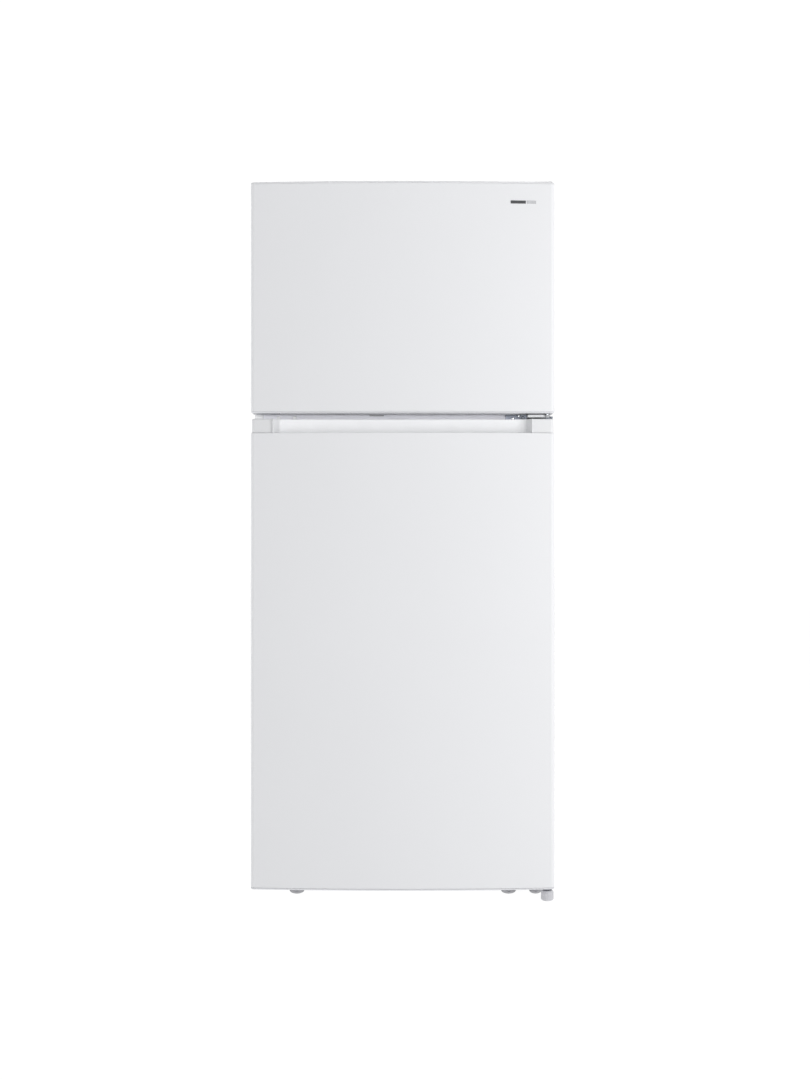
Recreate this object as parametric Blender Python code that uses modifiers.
"""Top freezer refrigerator: a foamed steel cabinet, two crowned doors on three hinges, and what they hold.

Metres, +Z up. The doors face -Y and are hinged on the right, at +X. The origin is on the floor, under the
middle of the whole object. Each object is one real piece; cutters and union helpers have hide_render set.
"""

import math

import bmesh
import bpy
from mathutils import Matrix, Vector

# --- driving dimensions -------------------------------------------------------------------------------
WIDTH = 0.700            # across the doors
CABINET_HALF = 0.345     # half the cabinet's width
FRONT_Y = -0.360         # foremost point of the crowned doors
CROWN = 0.016            # how far the middle of a door stands ahead of its side edges
DOOR_EDGE = 0.053        # door thickness at its side edges
GASKET_GAP = 0.013       # between the door's back and the cabinet's face
REAR_Y = 0.338           # outside of the rear panel
BACK_Y = 0.360           # rearmost point, the cord gland on the machine cover's bulge
BULGE_Y = BACK_Y - 0.0038
CABINET_TOP = 1.652
CABINET_BOTTOM = 0.040
DOOR_TOP = 1.658
FREEZER_DOOR_BOTTOM = 1.1265
FRIDGE_DOOR_TOP = 1.114
FRIDGE_SKIN_TOP = 1.081  # the handle pocket's cap shows above this
FRIDGE_DOOR_BOTTOM = 0.031
HINGE_X = 0.335
HINGE_SETBACK = 0.030    # the hinge axis behind the door's front edge
SHEET = 0.001            # steel sheet
LINER = 0.0018           # plastic liner
GAP = 0.0003             # between pieces that touch

# --- worked out ---------------------------------------------------------------------------------------
HALF = WIDTH / 2
EDGE_Y = FRONT_Y + CROWN
DOOR_BACK = EDGE_Y + DOOR_EDGE
FACE_Y = DOOR_BACK + GASKET_GAP
HINGE_Y = EDGE_Y + HINGE_SETBACK
CROWN_RADIUS = (HALF ** 2 + CROWN ** 2) / (2 * CROWN)
CORNER = 0.010           # radius where a door's face turns into its side

FREEZER_HALF, FREEZER_FLOOR, FREEZER_CEILING, FREEZER_BACK = 0.288, 1.152, 1.602, 0.272
FRIDGE_HALF, FRIDGE_FLOOR, FRIDGE_CEILING, FRIDGE_BACK = 0.297, 0.098, 1.090, 0.285
HUMP_TOP, HUMP_FRONT = 0.285, 0.090      # the liner's step over the machine compartment
MACHINE_TOP, MACHINE_FRONT = 0.235, 0.135
FLANGE = 0.019                           # steel flange round the cabinet's face
RAIL_HALF = CABINET_HALF - FLANGE - GAP
FOAM_FRONT = FACE_Y + 0.0023

COVER_Y = 0.205                          # front of the evaporator cover
FAN_Z = 1.500
SHELF_FRONT, SHELF_BACK = -0.155, 0.255
SHELF_HALF = 0.2945
GLASS = 0.004
UPPER_SHELF_Z, LOWER_SHELF_Z, CRISPER_COVER_Z = 0.775, 0.520, 0.296
FREEZER_SHELF_Z = 1.360
LEDGE = 0.008
DRAWER_FRONT = -0.155
FOOT_Y = EDGE_Y + 0.114
FOOT_X = 0.250
BRACKET_FOOT_X = 0.314
ROLLER_X, ROLLER_Y, ROLLER_RADIUS = 0.290, 0.305, 0.018
LEAF_RADIUS = 0.0125                     # rounded ends of the hinge leaves
GLAND_X, GLAND_Z = -0.280, 0.088
LINE_X, LINE_Y = 0.006, 0.312            # where the suction line rises through the rear foam

PARTS = "top_freezer_refrigerator"
HELPERS = "cutters"

# name: (colour, roughness, metallic, alpha)
FINISHES = {
    "painted_white": ((0.86, 0.87, 0.88), 0.35, 0.0, 1.0),
    "white_plastic": ((0.85, 0.86, 0.87), 0.45, 0.0, 1.0),
    "liner_white": ((0.90, 0.91, 0.92), 0.35, 0.0, 1.0),
    "gasket_white": ((0.80, 0.81, 0.82), 0.65, 0.0, 1.0),
    "foam": ((0.88, 0.80, 0.55), 0.90, 0.0, 1.0),
    "galvanised": ((0.62, 0.64, 0.66), 0.40, 1.0, 1.0),
    "aluminium": ((0.75, 0.76, 0.77), 0.35, 1.0, 1.0),
    "glass": ((0.80, 0.88, 0.86), 0.05, 0.0, 0.35),
    "clear_plastic": ((0.86, 0.90, 0.92), 0.15, 0.0, 0.45),
    "black_paint": ((0.03, 0.03, 0.03), 0.40, 0.0, 1.0),
    "dark_plastic": ((0.10, 0.10, 0.11), 0.55, 0.0, 1.0),
    "grey_plastic": ((0.70, 0.71, 0.74), 0.50, 0.0, 1.0),
    "copper": ((0.72, 0.42, 0.26), 0.30, 1.0, 1.0),
    "coated_wire": ((0.88, 0.89, 0.90), 0.35, 0.0, 1.0),
}


# --- making things ------------------------------------------------------------------------------------
def clear_scene():
    for obj in list(bpy.data.objects):
        bpy.data.objects.remove(obj)
    for name in (PARTS, HELPERS):
        bpy.context.scene.collection.children.link(bpy.data.collections.new(name))


def finish(name):
    """The material of this finish, made the first time it is asked for."""
    made = bpy.data.materials.get(name)
    if made:
        return made
    colour, roughness, metallic, alpha = FINISHES[name]
    made = bpy.data.materials.new(name)
    made.use_nodes = True
    shader = made.node_tree.nodes["Principled BSDF"]
    shader.inputs["Base Color"].default_value = (*colour, 1.0)
    shader.inputs["Roughness"].default_value = roughness
    shader.inputs["Metallic"].default_value = metallic
    shader.inputs["Alpha"].default_value = alpha
    return made


def settle(obj, name, material):
    """Names an object and files it as a part, or as a helper when it has no material."""
    obj.name = name
    obj.data.name = name
    for collection in list(obj.users_collection):
        collection.objects.unlink(obj)
    bpy.data.collections[PARTS if material else HELPERS].objects.link(obj)
    if material:
        obj.data.materials.clear()
        obj.data.materials.append(finish(material))
    else:
        obj.hide_render = True
        obj.display_type = "WIRE"
    return obj


def smooth(obj):
    """Shades a round piece smooth, and keeps its rims sharp."""
    obj.data.shade_smooth()
    obj.data.set_sharp_from_angle(angle=math.radians(35))
    return obj


def from_bmesh(name, bm, material=None):
    mesh = bpy.data.meshes.new(name)
    bm.to_mesh(mesh)
    bm.free()
    obj = bpy.data.objects.new(name, mesh)
    bpy.context.scene.collection.objects.link(obj)
    return settle(obj, name, material)


def bevel(obj, width, segments=2):
    modifier = obj.modifiers.new("Bevel", "BEVEL")
    modifier.width = width
    modifier.segments = segments
    modifier.limit_method = "ANGLE"
    modifier.angle_limit = math.radians(40)
    return obj


def box(name, low, high, material=None, rounding=0.0, segments=2):
    """A box between two corners, with its origin at its middle."""
    low, high = Vector(low), Vector(high)
    bpy.ops.mesh.primitive_cube_add(size=1, location=(low + high) / 2)
    obj = bpy.context.active_object
    obj.data.transform(Matrix.Diagonal((*(high - low), 1)))
    settle(obj, name, material)
    return bevel(obj, rounding, segments) if rounding else obj


def rod(name, start, end, radius, material=None, sides=16):
    """A cylinder from start to end."""
    start, end = Vector(start), Vector(end)
    bpy.ops.mesh.primitive_cylinder_add(
        vertices=sides, radius=radius, depth=(end - start).length, location=(start + end) / 2
    )
    obj = bpy.context.active_object
    obj.rotation_euler = (end - start).to_track_quat("Z", "Y").to_euler()
    return smooth(settle(obj, name, material))


def turned(name, profile, place, axis, material=None, steps=20, ring=False):
    """A solid of revolution. The profile's (radius, height) points run down its outer side.

    A ring's profile goes on up its bore, back to the first point.
    """
    mesh = bpy.data.meshes.new(name)
    points = [(radius, 0.0, height) for radius, height in profile]
    edges = [(i, i + 1) for i in range(len(points) - 1)]
    if ring:
        edges.append((len(points) - 1, 0))
    mesh.from_pydata(points, edges, [])
    obj = bpy.data.objects.new(name, mesh)
    bpy.context.scene.collection.objects.link(obj)
    obj.location = place
    obj.rotation_euler = Vector(axis).to_track_quat("Z", "Y").to_euler()
    screw = obj.modifiers.new("Screw", "SCREW")
    screw.steps = screw.render_steps = steps
    screw.use_merge_vertices = True
    screw.merge_threshold = 0.0001
    screw.use_smooth_shade = True
    return settle(obj, name, material)


def prism(name, outline, low_z, high_z, material=None):
    """A flat outline in X and Y with its thickness between two heights: a filled 2D curve, made a mesh."""
    curve = bpy.data.curves.new(name, "CURVE")
    curve.dimensions = "2D"
    curve.fill_mode = "BOTH"
    curve.extrude = (high_z - low_z) / 2
    spline = curve.splines.new("POLY")
    spline.points.add(len(outline) - 1)
    for point, (x, y) in zip(spline.points, outline):
        point.co = (x, y, 0, 1)
    spline.use_cyclic_u = True
    guide = bpy.data.objects.new(name, curve)
    bpy.context.scene.collection.objects.link(guide)
    guide.location.z = (low_z + high_z) / 2
    return as_mesh(guide, name, material)


def as_mesh(guide, name, material):
    """Replaces a curve object with the mesh that it makes, with the caps welded on."""
    bpy.context.view_layer.update()
    evaluated = guide.evaluated_get(bpy.context.evaluated_depsgraph_get())
    mesh = bpy.data.meshes.new_from_object(evaluated)
    bm = bmesh.new()
    bm.from_mesh(mesh)
    bmesh.ops.remove_doubles(bm, verts=bm.verts, dist=0.00001)
    bmesh.ops.recalc_face_normals(bm, faces=bm.faces)
    bm.to_mesh(mesh)
    bm.free()
    obj = bpy.data.objects.new(name, mesh)
    obj.matrix_world = guide.matrix_world.copy()
    bpy.context.scene.collection.objects.link(obj)
    bpy.data.objects.remove(guide)
    return smooth(settle(obj, name, material))


def turn_profile(obj, swap):
    """Stands a prism made in X and Y up: "yz" puts its outline in the YZ plane, along X."""
    if swap == "yz":
        obj.data.transform(Matrix(((0, 0, 1, 0), (1, 0, 0, 0), (0, 1, 0, 0), (0, 0, 0, 1))))
        obj.location = (obj.location.z, 0, 0)
    return obj


def sheet(name, path, along, thickness, material, offset=-1.0):
    """A bent sheet: a path of points drawn out along a vector, then thickened to one side."""
    bm = bmesh.new()
    near = [bm.verts.new(Vector(p)) for p in path]
    far = [bm.verts.new(Vector(p) + Vector(along)) for p in path]
    for i in range(len(path) - 1):
        bm.faces.new((near[i], near[i + 1], far[i + 1], far[i]))
    obj = from_bmesh(name, bm, material)
    thicken(obj, thickness, offset)
    return obj


def thicken(obj, thickness, offset=-1.0):
    modifier = obj.modifiers.new("Solidify", "SOLIDIFY")
    modifier.thickness = thickness
    modifier.offset = offset
    modifier.use_even_offset = True
    return obj


def rounded_rectangle(centre, half, radius, segments=3):
    """Points round a rectangle with arcs at its corners, anticlockwise."""
    points = []
    for quarter, (sx, sy) in enumerate(((1, -1), (1, 1), (-1, 1), (-1, -1))):
        corner = (centre[0] + sx * (half[0] - radius), centre[1] + sy * (half[1] - radius))
        start = math.radians(90 * quarter - 90)
        for step in range(segments + 1):
            angle = start + math.radians(90) * step / segments
            points.append((corner[0] + radius * math.cos(angle), corner[1] + radius * math.sin(angle)))
    return points


def loft(name, rings, place, material=None, thickness=0.0, offset=-1.0):
    """Rings of equal point count joined in turn: a tray with its last ring filled, or a solid if not thickened.

    place turns a ring's two coordinates and its level into a point.
    """
    bm = bmesh.new()
    loops = [[bm.verts.new(place(a, b, level)) for a, b in points] for points, level in rings]
    count = len(loops[0])
    for one, two in zip(loops, loops[1:]):
        for i in range(count):
            bm.faces.new((one[i], one[(i + 1) % count], two[(i + 1) % count], two[i]))
    bm.faces.new(loops[-1])
    if thickness:
        return thicken(from_bmesh(name, bm, material), thickness, offset)
    bm.faces.new(loops[0])
    bmesh.ops.recalc_face_normals(bm, faces=bm.faces)
    return from_bmesh(name, bm, material)


def tube(name, points, radius, material, sides=2):
    """A round bar or pipe along straight runs."""
    curve = bpy.data.curves.new(name, "CURVE")
    curve.dimensions = "3D"
    curve.bevel_depth = radius
    curve.bevel_resolution = sides
    curve.render_resolution_u = 0
    curve.use_fill_caps = True
    spline = curve.splines.new("POLY")
    spline.points.add(len(points) - 1)
    for point, co in zip(spline.points, points):
        point.co = (*co, 1)
    guide = bpy.data.objects.new(name, curve)
    bpy.context.scene.collection.objects.link(guide)
    return as_mesh(guide, name, material)


def cut(obj, *cutters):
    return boolean(obj, "DIFFERENCE", cutters)


def join(obj, *pieces):
    return boolean(obj, "UNION", pieces)


def boolean(obj, operation, others):
    for other in others:
        modifier = obj.modifiers.new(operation.title(), "BOOLEAN")
        modifier.operation = operation
        modifier.object = other
    return obj


# --- the doors' shape ---------------------------------------------------------------------------------
def crown_y(x):
    """The face of a door at x: an arc, CROWN ahead of its side edges in the middle."""
    return EDGE_Y - (math.sqrt(CROWN_RADIUS ** 2 - x ** 2) - (CROWN_RADIUS - CROWN))


def door_front(inset=0.0, half=HALF, corner=CORNER, strips=24):
    """Points along a door's face from left to right, with round corners, moved in by inset."""
    radius = max(corner - inset, 0.0015)
    reach = half - inset - radius
    face = [-reach + 2 * reach * i / strips for i in range(strips + 1)]
    middle = [(x, crown_y(x) + inset) for x in face]
    centre_y = middle[0][1] + radius
    left = []
    for degrees in (180, 210, 240):
        angle = math.radians(degrees)
        left.append((-reach + radius * math.cos(angle), centre_y + radius * math.sin(angle)))
    return left + middle + [(-x, y) for x, y in reversed(left)]


def door_outline(inset=0.0, back=DOOR_BACK):
    """The closed plan of a door, anticlockwise from above."""
    half = HALF - inset
    return [(-half, back)] + door_front(inset) + [(half, back)]


def pocket_outline(front_half, back_half, wall, back):
    """The plan of a handle pocket behind a door's face, with slanting ends."""
    strips = 16
    xs = [-front_half + 2 * front_half * i / strips for i in range(strips + 1)]
    return [(-back_half, back)] + [(x, crown_y(x) + wall) for x in xs] + [(back_half, back)]


def door_skin(name, low_z, high_z):
    """The painted steel skin: crowned face, round corners, sides and a narrow return at the back."""
    returned = HALF - 0.012
    plan = [(-returned, DOOR_BACK), (-HALF, DOOR_BACK)] + door_front() + [(HALF, DOOR_BACK), (returned, DOOR_BACK)]
    path = [(x, y, low_z) for x, y in plan]
    return sheet(name, path, (0, 0, high_z - low_z), SHEET, "painted_white")


INSIDE_SKIN = SHEET + GAP
CAP_BACK = DOOR_BACK - SHEET - GAP


def end_cap(name, outer_z, lip_z, inner_z, lip_inset=0.0):
    """A plastic end cap: a lip of the door's full plan, and a plug that fills the skin's end."""
    lip = prism(name, door_outline(lip_inset), min(outer_z, lip_z), max(outer_z, lip_z), "white_plastic")
    overlap = 0.001 if inner_z < outer_z else -0.001
    low, high = sorted((inner_z, lip_z + overlap))
    plug = prism(name + "_plug", door_outline(INSIDE_SKIN, CAP_BACK), low, high)
    return join(lip, plug)


DIKE_Y = -0.258          # the raised rim of a door liner
SUNKEN_Y = -0.2842       # its sunken middle
DOOR_LINER = 0.0015


def dike_rings(low_z, high_z, half_x, inward):
    """Rings over a door liner's rim and down to its middle, moved in by inward."""
    steps = (
        (0.0, DOOR_BACK + LINER, 0.020),
        (-0.004, DIKE_Y - 0.004, 0.020),
        (-0.007, DIKE_Y, 0.018),
        (-0.020, DIKE_Y, 0.016),
        (-0.023, DIKE_Y - 0.004, 0.014),
        (-0.028, SUNKEN_Y, 0.012),
    )
    middle, half_z = (low_z + high_z) / 2, (high_z - low_z) / 2
    rings = []
    for index, (grow, y, radius) in enumerate(steps):
        side = -inward if index < 3 else inward
        half = (half_x + grow + side, half_z + grow + side)
        rings.append((rounded_rectangle((0, middle), half, radius + side), y - inward))
    return rings


def door_liner(name, edge_low, edge_high, low_z, high_z, half_x):
    """The door's vacuum-formed inner sheet: a flat edge for the seal, a raised rim and a sunken middle."""
    edge = rounded_rectangle((0, (edge_low + edge_high) / 2), (HALF - 0.012, (edge_high - edge_low) / 2), 0.006)
    rings = [(edge, DOOR_BACK + LINER)] + dike_rings(low_z, high_z, half_x, 0.0)
    return loft(name, rings, lambda x, z, y: (x, y, z), "liner_white", DOOR_LINER, offset=1.0)


def door_foam(name, low_z, high_z, liner_low, liner_high, half_x):
    """The foam between the skin, the end caps and the door liner, filling the liner's raised rim."""
    core = prism(name, door_outline(INSIDE_SKIN, CAP_BACK), low_z, high_z, "foam")
    rings = dike_rings(liner_low, liner_high, half_x, DOOR_LINER + GAP)
    start = (rings[0][0], CAP_BACK - 0.003)
    low = max(liner_low, low_z) + 0.0005
    high = min(liner_high, high_z) - 0.0005
    raised = loft(name + "_rim", [start] + rings, lambda x, z, y: (x, y, z))
    ends = [box(f"{name}_end_{z:.3f}", (-0.4, -0.4, min(z, far)), (0.4, -0.2, max(z, far)))
            for z, far in ((low, low - 0.2), (high, high + 0.2))]
    cut(raised, *ends)
    return join(core, raised)


def gasket(name, low_z, high_z):
    """The magnetic seal between door and cabinet, a square ring."""
    outer, inner = 0.333, 0.309
    low_y, high_y = DOOR_BACK + LINER + GAP, FACE_Y - GAP
    width = outer - inner
    ring = box(name, (-outer, low_y, low_z), (outer, high_y, high_z), "gasket_white")
    hole = box(
        name + "_hole",
        (-inner, low_y - 0.01, low_z + width),
        (inner, high_y + 0.01, high_z - width),
    )
    return cut(ring, hole)


def door_bin(name, low_z, high_z, half, depth):
    """A door shelf: an open tray that clips between the liner's rims."""
    back = -0.2835
    middle = back + depth / 2
    wall = 0.002
    rings = [
        (rounded_rectangle((0, middle), (half, depth / 2), 0.022), high_z),
        (rounded_rectangle((0, middle), (half - 0.003, depth / 2 - 0.003), 0.022), low_z + 0.008),
        (rounded_rectangle((0, middle), (half - 0.010, depth / 2 - 0.010), 0.018), low_z),
    ]
    return loft(name, rings, lambda x, y, z: (x, y, z), "clear_plastic", wall, offset=1.0)


def bore(name, low_z, high_z, radius=0.0048):
    """A cutter for a hinge pin's socket on the hinge axis."""
    return rod(name, (HINGE_X, HINGE_Y, low_z), (HINGE_X, HINGE_Y, high_z), radius)


def freezer_door():
    lip = 0.004
    door_skin("freezer_door_skin", FREEZER_DOOR_BOTTOM + lip + GAP, DOOR_TOP - lip - GAP)
    top = end_cap("freezer_door_top_cap", DOOR_TOP, DOOR_TOP - lip, DOOR_TOP - 0.032)
    cut(top, bore("freezer_top_bore", DOOR_TOP - 0.028, DOOR_TOP + 0.01))
    bottom_plug = FREEZER_DOOR_BOTTOM + 0.045
    bottom = end_cap("freezer_door_bottom_cap", FREEZER_DOOR_BOTTOM, FREEZER_DOOR_BOTTOM + lip, bottom_plug)
    pocket = prism(
        "freezer_handle_pocket",
        pocket_outline(0.290, 0.284, 0.005, -0.312),
        FREEZER_DOOR_BOTTOM - 0.01,
        FREEZER_DOOR_BOTTOM + 0.032,
    )
    cut(bottom, pocket, bore("freezer_bottom_bore", FREEZER_DOOR_BOTTOM - 0.01, FREEZER_DOOR_BOTTOM + 0.020))
    shape = (FREEZER_FLOOR + 0.012, FREEZER_CEILING - 0.012, FREEZER_HALF - 0.010)
    door_foam("freezer_door_foam", bottom_plug + GAP, DOOR_TOP - 0.032 - GAP, *shape)
    door_liner("freezer_door_liner", FREEZER_DOOR_BOTTOM + 0.004, DOOR_TOP - 0.006, *shape)
    gasket("freezer_door_gasket", FREEZER_DOOR_BOTTOM + 0.008, DOOR_TOP - 0.020)
    door_bin("freezer_door_bin_upper", 1.405, 1.475, 0.247, 0.085)
    door_bin("freezer_door_bin_lower", 1.190, 1.270, 0.247, 0.085)


def fridge_door():
    lip = 0.004
    door_skin("fridge_door_skin", FRIDGE_DOOR_BOTTOM + lip + GAP, FRIDGE_SKIN_TOP)
    plug_low = FRIDGE_SKIN_TOP - 0.040
    recess_back = -0.322
    top = prism(
        "fridge_door_top_cap", door_outline(0.0025), FRIDGE_SKIN_TOP + GAP, FRIDGE_DOOR_TOP, "white_plastic"
    )
    plug = prism(
        "fridge_top_plug", door_outline(INSIDE_SKIN + 0.0015, CAP_BACK), plug_low, FRIDGE_SKIN_TOP + 0.001
    )
    scoop = prism(
        "fridge_handle_scoop",
        [(-0.298, FRONT_Y - 0.01), (0.298, FRONT_Y - 0.01), (0.298, -0.348), (0.284, recess_back),
         (-0.284, recess_back), (-0.298, -0.348)],
        FRIDGE_SKIN_TOP,
        FRIDGE_DOOR_TOP + 0.01,
    )
    pocket = prism(
        "fridge_handle_pocket",
        pocket_outline(0.288, 0.284, 0.0055, recess_back),
        FRIDGE_SKIN_TOP - 0.026,
        FRIDGE_SKIN_TOP + 0.01,
    )
    join(top, plug)
    cut(top, scoop, pocket, bore("fridge_top_bore", FRIDGE_DOOR_TOP - 0.019, FRIDGE_DOOR_TOP + 0.01))
    bottom = end_cap("fridge_door_bottom_cap", FRIDGE_DOOR_BOTTOM, FRIDGE_DOOR_BOTTOM + lip, FRIDGE_DOOR_BOTTOM + 0.030)
    cut(bottom, bore("fridge_bottom_bore", FRIDGE_DOOR_BOTTOM - 0.01, FRIDGE_DOOR_BOTTOM + 0.024, 0.0063))
    shape = (FRIDGE_FLOOR + 0.012, FRIDGE_CEILING - 0.012, FRIDGE_HALF - 0.010)
    door_foam("fridge_door_foam", FRIDGE_DOOR_BOTTOM + 0.030 + GAP, plug_low - GAP, *shape)
    door_liner("fridge_door_liner", FRIDGE_DOOR_BOTTOM + 0.006, FRIDGE_DOOR_TOP - 0.004, *shape)
    gasket("fridge_door_gasket", FRIDGE_DOOR_BOTTOM + 0.016, FRIDGE_DOOR_TOP - 0.008)
    door_bin("fridge_door_bin_top", 0.890, 0.970, 0.255, 0.095)
    door_bin("fridge_door_bin_middle", 0.600, 0.690, 0.255, 0.100)
    door_bin("fridge_door_bin_bottle", 0.150, 0.280, 0.255, 0.103)


# --- the cabinet --------------------------------------------------------------------------------------
def round_edges(obj, width, chosen, segments=3):
    """Rounds the sharp outer edges whose two ends satisfy chosen, in the object's own coordinates."""
    bm = bmesh.new()
    bm.from_mesh(obj.data)
    edges = [e for e in bm.edges if e.calc_face_angle_signed(0) > 0.7 and chosen(*(v.co for v in e.verts))]
    bmesh.ops.bevel(bm, geom=edges, offset=width, segments=segments, affect="EDGES", profile=0.5)
    bm.to_mesh(obj.data)
    bm.free()
    return obj


def along_top(a, b):
    """True for the two upper edges of a box that run from front to back."""
    return a.z > 0 and b.z > 0 and abs(a.x - b.x) < 0.00001


def outer_wrapper():
    """Sides and top in one folded sheet, with a flange round the face."""
    inner_half, inner_top = CABINET_HALF - SHEET, CABINET_TOP - SHEET
    low, high = CABINET_BOTTOM, CABINET_TOP
    wrap = box("outer_wrapper", (-CABINET_HALF, FACE_Y, low), (CABINET_HALF, REAR_Y, high), "painted_white")
    hollow = box(
        "wrapper_hollow", (-inner_half, FACE_Y + SHEET, low - 0.05), (inner_half, REAR_Y + 0.05, inner_top)
    )
    mouth_half = CABINET_HALF - FLANGE
    mouth = box(
        "wrapper_mouth", (-mouth_half, FACE_Y - 0.05, low - 0.05), (mouth_half, FACE_Y + 0.05, high - FLANGE)
    )
    round_edges(wrap, 0.008, along_top)
    round_edges(hollow, 0.007, along_top)
    return cut(wrap, hollow, mouth)


def side_view(name, outline, half, material=None):
    """A shape drawn from the side as (y, z) points and made 2 * half wide, centred on X."""
    return turn_profile(prism(name, outline, -half, half, material), "yz")


def liner(name, half, cavity, flange_low, flange_high, ledges):
    """A moulded compartment, open at the front, with a flange round its mouth and ledges for shelves.

    cavity is the inside seen from the side: (y, z) points from the front of the ceiling, round the back,
    to the front of the floor.
    """
    behind = 0.0001
    middle_z = sum(z for _, z in cavity) / len(cavity)
    wall = []
    for y, z in cavity:
        outward = LINER if z > middle_z else -LINER
        wall.append((y + LINER if y > FACE_Y else y + behind, z + outward))
    if len(cavity) > 4:
        wall[2] = (FRIDGE_BACK + LINER, HUMP_TOP - LINER)
        wall[3] = (HUMP_FRONT + LINER, HUMP_TOP - LINER)
    shell = side_view(name, wall, half + LINER, "liner_white")
    inside = side_view(
        name + "_inside", [(FACE_Y - 0.05, cavity[0][1])] + cavity[1:-1] + [(FACE_Y - 0.05, cavity[-1][1])], half
    )
    for piece, radius in ((shell, 0.008), (inside, 0.0065)):
        front = min(v.co.y for v in piece.data.vertices) + 0.0001
        round_edges(piece, radius, lambda a, b: a.y > front or b.y > front, 2)
    flange = box(name + "_flange", (-RAIL_HALF, FACE_Y, flange_low), (RAIL_HALF, FACE_Y + LINER, flange_high))
    join(shell, flange)
    cut(shell, inside)
    for index, (z, front, back) in enumerate(ledges):
        for side in (-1, 1):
            low_x, high_x = sorted((side * (half - 0.011), side * (half + 0.001)))
            join(shell, box(f"{name}_ledge_{index}_{side}", (low_x, front, z - LEDGE), (high_x, back, z)))
    return shell


def liners():
    mouth = FACE_Y
    liner(
        "freezer_liner",
        FREEZER_HALF,
        [(mouth, FREEZER_CEILING), (FREEZER_BACK, FREEZER_CEILING), (FREEZER_BACK, FREEZER_FLOOR),
         (mouth, FREEZER_FLOOR)],
        FREEZER_FLOOR - 0.0035,
        CABINET_TOP - FLANGE - GAP,
        [(FREEZER_SHELF_Z - GAP, -0.170, 0.190)],
    )
    ledge_back = SHELF_BACK - 0.010
    liner(
        "fridge_liner",
        FRIDGE_HALF,
        [(mouth, FRIDGE_CEILING), (FRIDGE_BACK, FRIDGE_CEILING), (FRIDGE_BACK, HUMP_TOP),
         (HUMP_FRONT, HUMP_TOP), (HUMP_FRONT, FRIDGE_FLOOR), (mouth, FRIDGE_FLOOR)],
        0.0855,
        FRIDGE_CEILING + 0.0035,
        [(z - GAP, SHELF_FRONT, ledge_back) for z in (UPPER_SHELF_Z, LOWER_SHELF_Z, CRISPER_COVER_Z)],
    )


def foam():
    """The insulation foamed in place between the liners and the steel, with room for feet and screws."""
    clear = LINER + GAP
    inner_half = CABINET_HALF - SHEET - GAP
    block = box(
        "cabinet_foam",
        (-inner_half, FOAM_FRONT, CABINET_BOTTOM + SHEET + GAP),
        (inner_half, REAR_Y - SHEET - GAP, CABINET_TOP - SHEET - GAP),
        "foam",
    )
    round_edges(block, 0.0065, along_top)
    freezer = box(
        "foam_freezer",
        (-FREEZER_HALF - clear, FACE_Y - 0.05, FREEZER_FLOOR - clear),
        (FREEZER_HALF + clear, FREEZER_BACK + clear, FREEZER_CEILING + clear),
    )
    fridge = box(
        "foam_fridge",
        (-FRIDGE_HALF - clear, FACE_Y - 0.05, HUMP_TOP - clear),
        (FRIDGE_HALF + clear, FRIDGE_BACK + clear, FRIDGE_CEILING + clear),
    )
    well = box(
        "foam_well",
        (-FRIDGE_HALF - clear, FACE_Y - 0.05, FRIDGE_FLOOR - clear),
        (FRIDGE_HALF + clear, HUMP_FRONT + clear, HUMP_TOP + 0.01),
    )
    machine = box(
        "foam_machine",
        (-0.5, MACHINE_FRONT - SHEET - GAP, -0.05),
        (0.5, 0.5, MACHINE_TOP + SHEET + GAP),
    )
    cut(block, freezer, fridge, well, machine)
    for x in (-FOOT_X, FOOT_X, BRACKET_FOOT_X):
        cut(block, rod(f"foam_stem_{x:.2f}", (x, FOOT_Y, 0.02), (x, FOOT_Y, 0.066), 0.0048))
    cut(block, rod("foam_line", (LINE_X, LINE_Y, 0.2), (LINE_X, LINE_Y, 0.602), 0.0046))
    return block


def panels():
    half = CABINET_HALF - SHEET - GAP
    rear = box(
        "rear_panel",
        (-half, REAR_Y - SHEET, MACHINE_TOP + SHEET + 2 * GAP),
        (half, REAR_Y, CABINET_TOP - SHEET - GAP),
        "galvanised",
    )
    round_edges(rear, 0.0065, along_top)
    front_top = 0.085
    sheet(
        "bottom_panel",
        [(-half, FACE_Y, front_top), (-half, FACE_Y, CABINET_BOTTOM), (-half, MACHINE_FRONT, CABINET_BOTTOM),
         (-half, MACHINE_FRONT, MACHINE_TOP), (-half, REAR_Y - 0.0015, MACHINE_TOP)],
        (2 * half, 0, 0),
        SHEET,
        "galvanised",
    )
    holes = [rod(f"panel_hole_{x:.2f}", (x, FOOT_Y, 0.03), (x, FOOT_Y, 0.05), 0.0044)
             for x in (-FOOT_X, FOOT_X, BRACKET_FOOT_X)]
    holes.append(rod("panel_line_hole", (LINE_X, LINE_Y, 0.2), (LINE_X, LINE_Y, 0.25), 0.0055))
    sides = [box(f"panel_side_{x}", (x - 0.1, FACE_Y - 0.01, 0.02), (x + 0.1, FACE_Y + SHEET + GAP, 0.1))
             for x in (-RAIL_HALF - 0.1, RAIL_HALF + 0.1)]
    cut(bpy.data.objects["bottom_panel"], *holes, *sides)
    box(
        "center_rail",
        (-RAIL_HALF, FACE_Y, FRIDGE_CEILING + 0.0038),
        (RAIL_HALF, FACE_Y + SHEET, FREEZER_FLOOR - 0.0038),
        "painted_white",
    )


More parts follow.
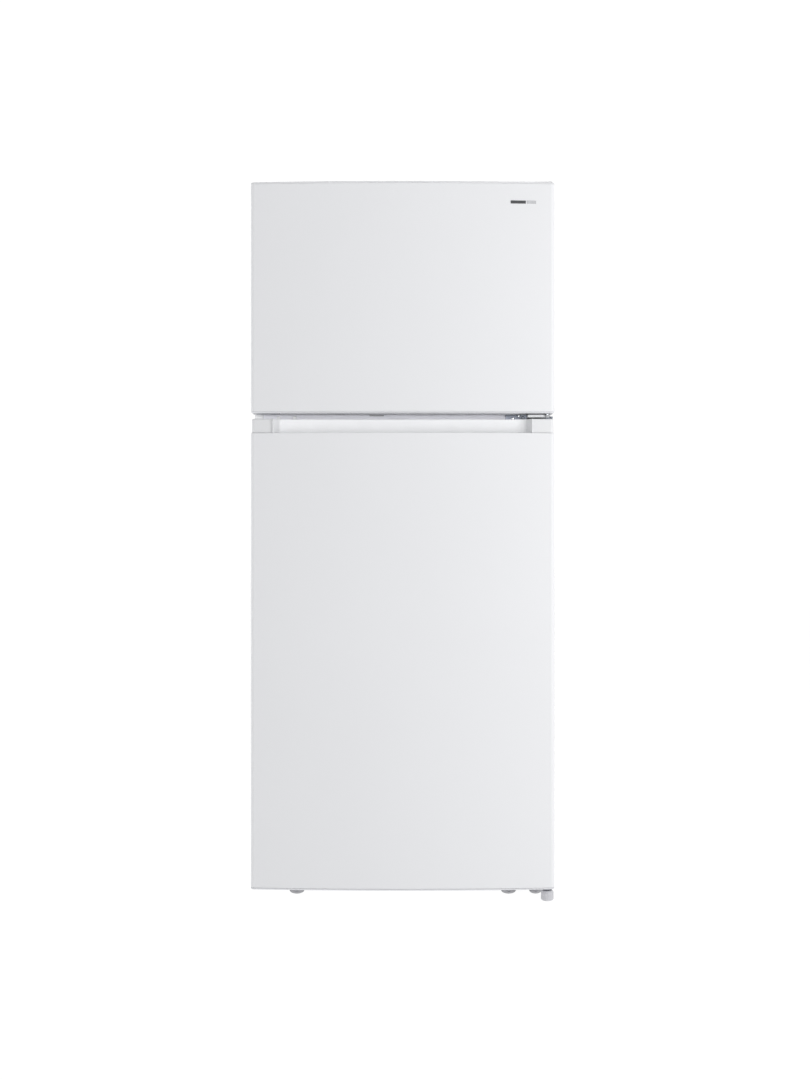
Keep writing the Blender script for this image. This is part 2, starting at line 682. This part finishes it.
# --- the freezer's cooling ------------------------------------------------------------------------------
def evaporator():
    cover = box(
        "evaporator_cover",
        (-FREEZER_HALF + 0.007, COVER_Y, FREEZER_FLOOR + 0.007),
        (FREEZER_HALF - 0.007, COVER_Y + 0.0025, FREEZER_CEILING - 0.007),
        "liner_white",
    )
    slots = []
    for row in range(-3, 4):
        height = row * 0.013
        chord = math.sqrt(0.052 ** 2 - height ** 2)
        slots.append((0.0, FAN_Z + height, chord))
    for side in (-1, 1):
        slots += [(side * 0.185, FAN_Z + row * 0.016, 0.045) for row in range(2)]
    slots += [(x, FREEZER_FLOOR + 0.030, 0.030) for x in (-0.20, -0.12, -0.04, 0.04, 0.12, 0.20)]
    for index, (x, z, half) in enumerate(slots):
        slot = box(f"vent_{index}", (x - half, COVER_Y - 0.01, z - 0.003), (x + half, COVER_Y + 0.01, z + 0.003))
        cut(cover, slot)

    fins = box("evaporator_coil", (-0.210, 0.222, 1.205), (0.210, 0.262, 1.395), "aluminium")
    pitch = 0.035
    for i in range(12):
        x = -0.210 + pitch * (i + 0.35)
        cut(fins, box(f"fin_gap_{i}", (x, 0.21, 1.19), (x + 0.012, 0.252, 1.41)))
    motor = rod("evaporator_fan_motor", (0, 0.229, FAN_Z), (0, 0.258, FAN_Z), 0.021, "dark_plastic", 20)
    join(
        motor,
        box("motor_bar", (-0.068, 0.245, FAN_Z - 0.007), (0.068, 0.250, FAN_Z + 0.007)),
        box("motor_leg_left", (-0.068, COVER_Y + 0.0028, FAN_Z - 0.007), (-0.062, 0.248, FAN_Z + 0.007)),
        box("motor_leg_right", (0.062, COVER_Y + 0.0028, FAN_Z - 0.007), (0.068, 0.248, FAN_Z + 0.007)),
        rod("motor_shaft", (0, 0.220, FAN_Z), (0, 0.231, FAN_Z), 0.0020),
    )
    fan = rod("evaporator_fan", (0, 0.2115, FAN_Z), (0, 0.2265, FAN_Z), 0.013, "grey_plastic", 20)
    for i in range(5):
        angle = math.radians(72 * i)
        blade = box(f"fan_blade_{i}", (0.010, -0.0008, -0.013), (0.047, 0.0008, 0.013))
        blade.data.transform(Matrix.Translation(blade.location))
        blade.data.transform(Matrix.Rotation(math.radians(32), 4, "X"))
        blade.data.transform(Matrix.Rotation(angle, 4, "Y"))
        blade.location = (0, 0.2188, FAN_Z)
        join(fan, blade)
    cut(fan, rod("fan_bore", (0, 0.2175, FAN_Z), (0, 0.23, FAN_Z), 0.0023))


def knob(name, place, radius, depth):
    """A control knob facing -Y: a round skirt with a finger bar across it."""
    x, y, z = place
    skirt = rod(name, (x, y - depth * 0.35, z), (x, y, z), radius, "white_plastic", 20)
    bar = box(name + "_bar", (x - radius * 0.26, y - depth, z - radius * 0.92),
              (x + radius * 0.26, y - depth * 0.3, z + radius * 0.92), rounding=0.0012, segments=1)
    return join(skirt, bar)


def freezer_fittings():
    knob("damper_knob", (0.185, COVER_Y - GAP, 1.440), 0.014, 0.012)
    half, front, back = FREEZER_HALF - 0.0035, -0.175, 0.190
    shelf = box("freezer_shelf", (-half, front, FREEZER_SHELF_Z), (half, back, FREEZER_SHELF_Z + 0.005), "coated_wire")
    count = 18
    pitch = (2 * half - 0.010) / count
    bars = 0.005
    for i in range(count):
        x = -half + 0.010 + pitch * i
        for part, (low_y, high_y) in enumerate(((front + bars, 0.005), (0.010, back - bars))):
            slot = box(f"shelf_slot_{i}_{part}", (x, low_y, FREEZER_SHELF_Z - 0.01),
                       (x + pitch - bars, high_y, FREEZER_SHELF_Z + 0.02))
            cut(shelf, slot)


# --- inside the fresh food compartment --------------------------------------------------------------------
def controls():
    front = -0.160
    top = FRIDGE_CEILING - GAP
    housing = box("control_housing", (-0.125, front, 1.052), (0.125, -0.020, top), "white_plastic", 0.003, 1)
    nose = box("switch_nose", (-0.115, -0.236, 1.057), (-0.085, front + 0.005, top), rounding=0.002, segments=1)
    join(housing, nose)
    cut(housing, rod("switch_bore", (-0.100, -0.25, 1.070), (-0.100, -0.190, 1.070), 0.0048))
    rod("light_switch_plunger", (-0.100, -0.2577, 1.070), (-0.100, -0.204, 1.070), 0.0045, "white_plastic", 16)
    knob("thermostat_knob", (0.050, front - GAP, 1.0705), 0.015, 0.013)

    duct = box("air_duct_cover", (-0.090, 0.262, 0.320), (0.090, FRIDGE_BACK - GAP, 1.060), "white_plastic", 0.004, 1)
    for level in (0.40, 0.62, 0.85, 1.00):
        for side in (-1, 1):
            slot = box(f"duct_slot_{level}_{side}", (side * 0.045 - 0.025, 0.25, level - 0.004),
                       (side * 0.045 + 0.025, 0.277, level + 0.004))
            cut(duct, slot)


def glass_shelf(name, z):
    """A pane of safety glass resting on the liner's ledges."""
    return box(name, (-SHELF_HALF, SHELF_FRONT, z), (SHELF_HALF, SHELF_BACK, z + GLASS), "glass", 0.0008, 1)


def shelf_trim(name, z):
    """The moulded strip that holds a pane's front edge."""
    grip = 0.010
    outline = [
        (SHELF_FRONT - 0.010, z - 0.008), (SHELF_FRONT - 0.003, z - 0.008), (SHELF_FRONT + 0.001, z - 0.003),
        (SHELF_FRONT + grip, z - 0.003), (SHELF_FRONT + grip, z - GAP), (SHELF_FRONT - GAP, z - GAP),
        (SHELF_FRONT - GAP, z + GLASS + GAP), (SHELF_FRONT + grip, z + GLASS + GAP),
        (SHELF_FRONT + grip, z + GLASS + 0.002), (SHELF_FRONT - 0.002, z + GLASS + 0.006),
        (SHELF_FRONT - 0.010, z + GLASS + 0.006),
    ]
    # The side ledges start behind the strip's ends, so the strip stops short of them.
    half = SHELF_HALF - 0.010
    return side_view(name, outline, half, "white_plastic")


def crisper(name, side):
    """A vegetable drawer: a tapered tub with a taller front that has a finger lip."""
    middle = side * 0.1455
    back = 0.078
    low_z, rim_z = 0.0995, 0.280
    centre = (middle, (DRAWER_FRONT + back) / 2)
    half_y = (back - DRAWER_FRONT) / 2
    wall = 0.0022
    rings = [
        (rounded_rectangle(centre, (0.1395, half_y), 0.012), rim_z),
        (rounded_rectangle(centre, (0.1290, half_y - 0.006), 0.016), low_z + 0.014),
        (rounded_rectangle(centre, (0.1190, half_y - 0.014), 0.014), low_z),
    ]
    tub = loft(name, rings, lambda x, y, z: (x, y, z), "clear_plastic", wall, offset=1.0)
    front = box(name + "_front", (middle - 0.1395, DRAWER_FRONT - 0.007, 0.112),
                (middle + 0.1395, DRAWER_FRONT + 0.0015, 0.286), rounding=0.002, segments=1)
    lip = box(name + "_lip", (middle - 0.060, DRAWER_FRONT - 0.014, 0.270),
              (middle + 0.060, DRAWER_FRONT - 0.005, 0.282), rounding=0.002, segments=1)
    return join(tub, front, lip)


def fridge_fittings():
    glass_shelf("upper_shelf_glass", UPPER_SHELF_Z)
    shelf_trim("upper_shelf_trim", UPPER_SHELF_Z)
    glass_shelf("lower_shelf_glass", LOWER_SHELF_Z)
    shelf_trim("lower_shelf_trim", LOWER_SHELF_Z)
    glass_shelf("crisper_cover_glass", CRISPER_COVER_Z)
    crisper("crisper_drawer_left", -1)
    crisper("crisper_drawer_right", 1)


# --- the machine compartment ------------------------------------------------------------------------------
def base_plate():
    """The steel tray that carries the compressor, with lugs and riveted axles for the rear rollers."""
    half = CABINET_HALF - SHEET - GAP
    front = MACHINE_FRONT + SHEET + GAP
    plate = box("compressor_base_plate", (-half, front, CABINET_BOTTOM), (half, REAR_Y - 0.002, CABINET_BOTTOM + 0.0015),
                "galvanised")
    for side in (-1, 1):
        for place in (0.2785, 0.3015):
            x = side * place
            lug = box(f"lug_{x:.3f}", (x - 0.001, ROLLER_Y - 0.011, 0.0105), (x + 0.001, ROLLER_Y + 0.011, 0.0408))
            join(plate, lug)
        axle = rod(f"axle_{side}", (side * 0.2765, ROLLER_Y, ROLLER_RADIUS), (side * 0.3035, ROLLER_Y, ROLLER_RADIUS),
                   0.003, sides=16)
        join(plate, axle)
    return plate


def roller(name, side):
    """A rear transport roller, turning on its axle."""
    x = side * ROLLER_X
    wheel = turned(
        name,
        [(0.0034, 0.0095), (0.0150, 0.0095), (ROLLER_RADIUS, 0.0070), (ROLLER_RADIUS, -0.0070), (0.0150, -0.0095),
         (0.0034, -0.0095)],
        (x, ROLLER_Y, ROLLER_RADIUS),
        (1, 0, 0),
        "dark_plastic",
        24,
        ring=True,
    )
    return wheel


def compressor():
    x, y = 0.120, 0.236
    base = 0.057
    profile = [(0.0, 0.150), (0.028, 0.148), (0.050, 0.138), (0.062, 0.120), (0.066, 0.095), (0.069, 0.092),
               (0.069, 0.086), (0.066, 0.083), (0.065, 0.030), (0.056, 0.012), (0.036, 0.002), (0.0, 0.0)]
    can = turned("compressor", profile, (x, y, base), (0, 0, 1), "black_paint", 20)
    foot = box("compressor_foot", (x - 0.100, y - 0.050, base + 0.0035), (x + 0.100, y + 0.050, base + 0.0065))
    join(can, foot)
    posts = []
    for side_x in (-1, 1):
        for side_y in (-1, 1):
            px, py = x + side_x * 0.085, y + side_y * 0.038
            post = rod(f"compressor_mount_{side_x}_{side_y}", (px, py, CABINET_BOTTOM + 0.0018), (px, py, base + 0.005), 0.009,
                       sides=12)
            posts.append(post)
    join(can, *posts)

    pan_middle = (x, 0.238)
    rings = [
        (rounded_rectangle(pan_middle, (0.095, 0.078), 0.012, 2), 0.231),
        (rounded_rectangle(pan_middle, (0.090, 0.073), 0.012, 2), 0.2115),
    ]
    loft("drip_pan", rings, lambda a, b, z: (a, b, z), "dark_plastic", 0.0018, offset=1.0)

    turned(
        "filter_drier",
        [(0.0, 0.070), (0.0028, 0.070), (0.0032, 0.055), (0.0110, 0.042), (0.0110, -0.042), (0.0032, -0.055),
         (0.0028, -0.070), (0.0, -0.070)],
        (-0.190, 0.290, 0.120),
        (1, 0, 0.25),
        "copper",
        14,
    )
    tube(
        "suction_line",
        [(x - 0.0660, y, 0.120), (x - 0.085, y, 0.120), (x - 0.095, y, 0.126), (x - 0.100, y, 0.136),
         (x - 0.100, y, 0.200), (x - 0.103, y + 0.008, 0.208), (LINE_X + 0.003, LINE_Y - 0.012, 0.211),
         (LINE_X, LINE_Y, 0.222), (LINE_X, LINE_Y, 0.600)],
        0.004,
        "copper",
    )


def condenser():
    """The warm coil: one tube folded in upright layers beside the compressor."""
    left, right = -0.315, -0.055
    run = [(right, 0.165, 0.075)]
    for layer in range(3):
        y = 0.165 + 0.030 * layer
        heights = [0.075, 0.110, 0.145, 0.180]
        if layer % 2:
            heights.reverse()
        for index, z in enumerate(heights):
            ends = (right, left) if index % 2 == 0 else (left, right)
            run += [(ends[0], y, z), (ends[1], y, z)]
    tube("condenser_coil", run[1:], 0.003, "black_paint", 1)


def machine_cover():
    """The vented rear cover of the machine compartment, bulged out over the compressor."""
    low, high = CABINET_BOTTOM + 0.004, MACHINE_TOP - 0.002
    wall = 0.0015
    front = REAR_Y - wall
    rings = [
        (rounded_rectangle((0, (low + high) / 2), (0.340, (high - low) / 2), 0.006, 2), front),
        (rounded_rectangle((0, (low + high) / 2), (0.322, (high - low) / 2 - 0.016), 0.010, 2), front),
        (rounded_rectangle((0, (low + high) / 2), (0.312, (high - low) / 2 - 0.024), 0.014, 2), BULGE_Y - wall),
    ]
    cover = loft("machine_cover", rings, lambda a, b, y: (a, y, b), "grey_plastic", wall)
    for row in range(4):
        z = 0.090 + row * 0.028
        for x in (-0.180, -0.075, 0.030, 0.135, 0.240):
            slot = box(f"cover_slot_{row}_{x:.3f}", (x - 0.042, BULGE_Y - 0.008, z), (x + 0.042, BACK_Y, z + 0.010))
            cut(cover, slot)
    cut(cover, rod("gland_hole", (GLAND_X, 0.33, GLAND_Z), (GLAND_X, 0.37, GLAND_Z), 0.0065, sides=16))
    gland = turned(
        "cord_gland",
        [(0.0030, 0.0038), (0.0085, 0.0038), (0.0095, 0.0026), (0.0095, 0.0003), (0.0060, 0.0003), (0.0060, -0.0075),
         (0.0030, -0.0075)],
        (GLAND_X, BULGE_Y, GLAND_Z),
        (0, 1, 0),
        "dark_plastic",
        16,
        ring=True,
    )
    return gland


# --- feet and hinges ---------------------------------------------------------------------------------------
def levelling_foot(name, x, radius):
    """A domed foot on a threaded stem that screws into the cabinet's base."""
    profile = [
        (0.0, 0.062), (0.0032, 0.062), (0.0040, 0.060), (0.0040, 0.014), (0.0080, 0.012), (radius - 0.001, 0.0115),
        (radius, 0.0095), (radius - 0.0015, 0.0055), (radius - 0.0055, 0.0018), (radius - 0.0095, 0.0), (0.0, 0.0),
    ]
    return turned(name, profile, (x, FOOT_Y, 0), (0, 0, 1), "grey_plastic", 24)


def hinge_foot():
    """The round hand-turned foot under the lower hinge pin, on a stem inside the hollow pin."""
    radius = 0.0147
    profile = [
        (0.0, 0.0400), (0.0034, 0.0400), (0.0040, 0.0388), (0.0040, 0.0245), (0.0115, 0.0245), (radius - 0.001, 0.0220),
        (radius, 0.0190), (radius, 0.0045), (radius - 0.0012, 0.0015), (radius - 0.0040, 0.0), (0.0, 0.0),
    ]
    return turned("hinge_foot", profile, (HINGE_X, HINGE_Y, 0), (0, 0, 1), "grey_plastic", 24)


def leaf_outline(left, right, back):
    """A hinge leaf in plan: a straight root at the back and a round end about the hinge axis."""
    arc = []
    for step in range(9):
        angle = math.radians(180 + 180 * step / 8)
        arc.append((HINGE_X + LEAF_RADIUS * math.cos(angle), HINGE_Y + LEAF_RADIUS * math.sin(angle)))
    return [(left, back)] + arc + [(right, back)]


def bottom_hinge():
    leaf_low, leaf_high = 0.0262, 0.0292
    root_low, root_high = 0.0367, CABINET_BOTTOM - GAP
    web_y = FACE_Y + 0.004
    leaf = prism("bottom_hinge", leaf_outline(HINGE_X - LEAF_RADIUS, HINGE_X + LEAF_RADIUS, web_y + 0.0025),
                 leaf_low, leaf_high, "galvanised")
    left, right = 0.286, CABINET_HALF
    root = box("bottom_hinge_root", (left, web_y, root_low), (right, FOOT_Y + 0.035, root_high))
    web = box("bottom_hinge_web", (HINGE_X - LEAF_RADIUS, web_y - 0.001, leaf_low + 0.001),
              (right, web_y + 0.0022, root_high - 0.001))
    pin = rod("bottom_hinge_pin", (HINGE_X, HINGE_Y, leaf_high - 0.001), (HINGE_X, HINGE_Y, 0.051), 0.0060)
    join(leaf, web, root, pin)
    stem = rod("bottom_hinge_stem_hole", (HINGE_X, HINGE_Y, 0.01), (HINGE_X, HINGE_Y, 0.0415), 0.0043)
    foot = rod("bottom_hinge_foot_hole", (BRACKET_FOOT_X, FOOT_Y, 0.03), (BRACKET_FOOT_X, FOOT_Y, 0.05), 0.0044)
    cut(leaf, stem, foot)


def center_hinge():
    low, high = 1.1183, 1.1223
    plate_front = FACE_Y - GAP - 0.0025
    leaf = prism("center_hinge", leaf_outline(0.288, HINGE_X + LEAF_RADIUS, plate_front + 0.001), low, high, "galvanised")
    plate = box("center_hinge_plate", (0.240, plate_front, 1.1075), (0.3400, FACE_Y - GAP, 1.1325), rounding=0.002,
                segments=1)
    pin = rod("center_hinge_pin", (HINGE_X, HINGE_Y, 1.097), (HINGE_X, HINGE_Y, 1.1445), 0.0045)
    join(leaf, plate, pin)
    cover_low, cover_high = low - 0.0016, high + 0.0016
    cover = box("center_hinge_cover", (0.2895, HINGE_Y - 0.0155, cover_low), (0.3215, plate_front - GAP, cover_high),
                "white_plastic", 0.0012, 1)
    slot = prism("center_cover_slot", leaf_outline(0.288 - GAP, HINGE_X + LEAF_RADIUS, plate_front + 0.001),
                 low - GAP, high + GAP)
    grow = box("center_cover_mouth", (0.280, HINGE_Y - LEAF_RADIUS - GAP, low - GAP), (0.33, plate_front + 0.01, high + GAP))
    cut(cover, slot, grow)


def top_hinge():
    root_low, root_high = CABINET_TOP + GAP, CABINET_TOP + 0.003
    leaf_low, leaf_high = DOOR_TOP + 0.0006, DOOR_TOP + 0.0032
    web_y = FACE_Y + 0.002
    leaf = prism("top_hinge", leaf_outline(0.296, CABINET_HALF, web_y + 0.002), leaf_low, leaf_high, "galvanised")
    web = box("top_hinge_web", (0.296, web_y, root_low + 0.001), (CABINET_HALF - 0.009, web_y + 0.0024, leaf_high - 0.0008))
    root = box("top_hinge_root", (0.262, web_y, root_low), (CABINET_HALF - 0.009, web_y + 0.065, root_high))
    pin = rod("top_hinge_pin", (HINGE_X, HINGE_Y, DOOR_TOP - 0.024), (HINGE_X, HINGE_Y, leaf_low + 0.001), 0.0045)
    join(leaf, web, root, pin)

    back = web_y + 0.074
    side = [(HINGE_Y - 0.0145, leaf_high + GAP), (HINGE_Y - 0.0145, leaf_high + 0.0016), (HINGE_Y + 0.020, DOOR_TOP + 0.010),
            (back - 0.006, DOOR_TOP + 0.010), (back, DOOR_TOP + 0.006), (back, CABINET_TOP + GAP),
            (web_y - 0.003, CABINET_TOP + GAP), (web_y - 0.003, leaf_high + GAP)]
    cover = turn_profile(prism("top_hinge_cover", side, 0.254, 0.3455, "white_plastic"), "yz")
    hollow = box("hinge_cover_hollow", (0.258, web_y - 0.0012, CABINET_TOP - 0.01),
                 (0.3425, web_y + 0.070, DOOR_TOP + 0.0075))
    over = box("hinge_cover_over_leaf", (0.290, HINGE_Y - 0.020, CABINET_TOP - 0.01), (0.352, web_y + 0.01, leaf_high + GAP))
    cut(cover, hollow, over)


def feet_and_rollers():
    levelling_foot("levelling_foot_left", -FOOT_X, 0.018)
    levelling_foot("levelling_foot_right", FOOT_X, 0.018)
    levelling_foot("hinge_bracket_foot", BRACKET_FOOT_X, 0.0155)
    hinge_foot()
    roller("rear_roller_left", -1)
    roller("rear_roller_right", 1)


def hang(build, pivot, z):
    """Builds a door, then parents its pieces and their cutters to an empty on the hinge axis."""
    before = set(bpy.data.objects)
    build()
    empty = bpy.data.objects.new(pivot, None)
    empty.location = (HINGE_X, HINGE_Y, z)
    empty.empty_display_size = 0.05
    bpy.data.collections[PARTS].objects.link(empty)
    for obj in set(bpy.data.objects) - before - {empty}:
        obj.parent = empty
        obj.matrix_parent_inverse = Matrix.Translation((-HINGE_X, -HINGE_Y, -z))


def main():
    clear_scene()
    outer_wrapper()
    liners()
    foam()
    panels()
    evaporator()
    freezer_fittings()
    controls()
    fridge_fittings()
    base_plate()
    compressor()
    condenser()
    machine_cover()
    feet_and_rollers()
    bottom_hinge()
    center_hinge()
    top_hinge()
    hang(freezer_door, "freezer_door_pivot", FREEZER_DOOR_BOTTOM)
    hang(fridge_door, "fridge_door_pivot", FRIDGE_DOOR_BOTTOM)


main()
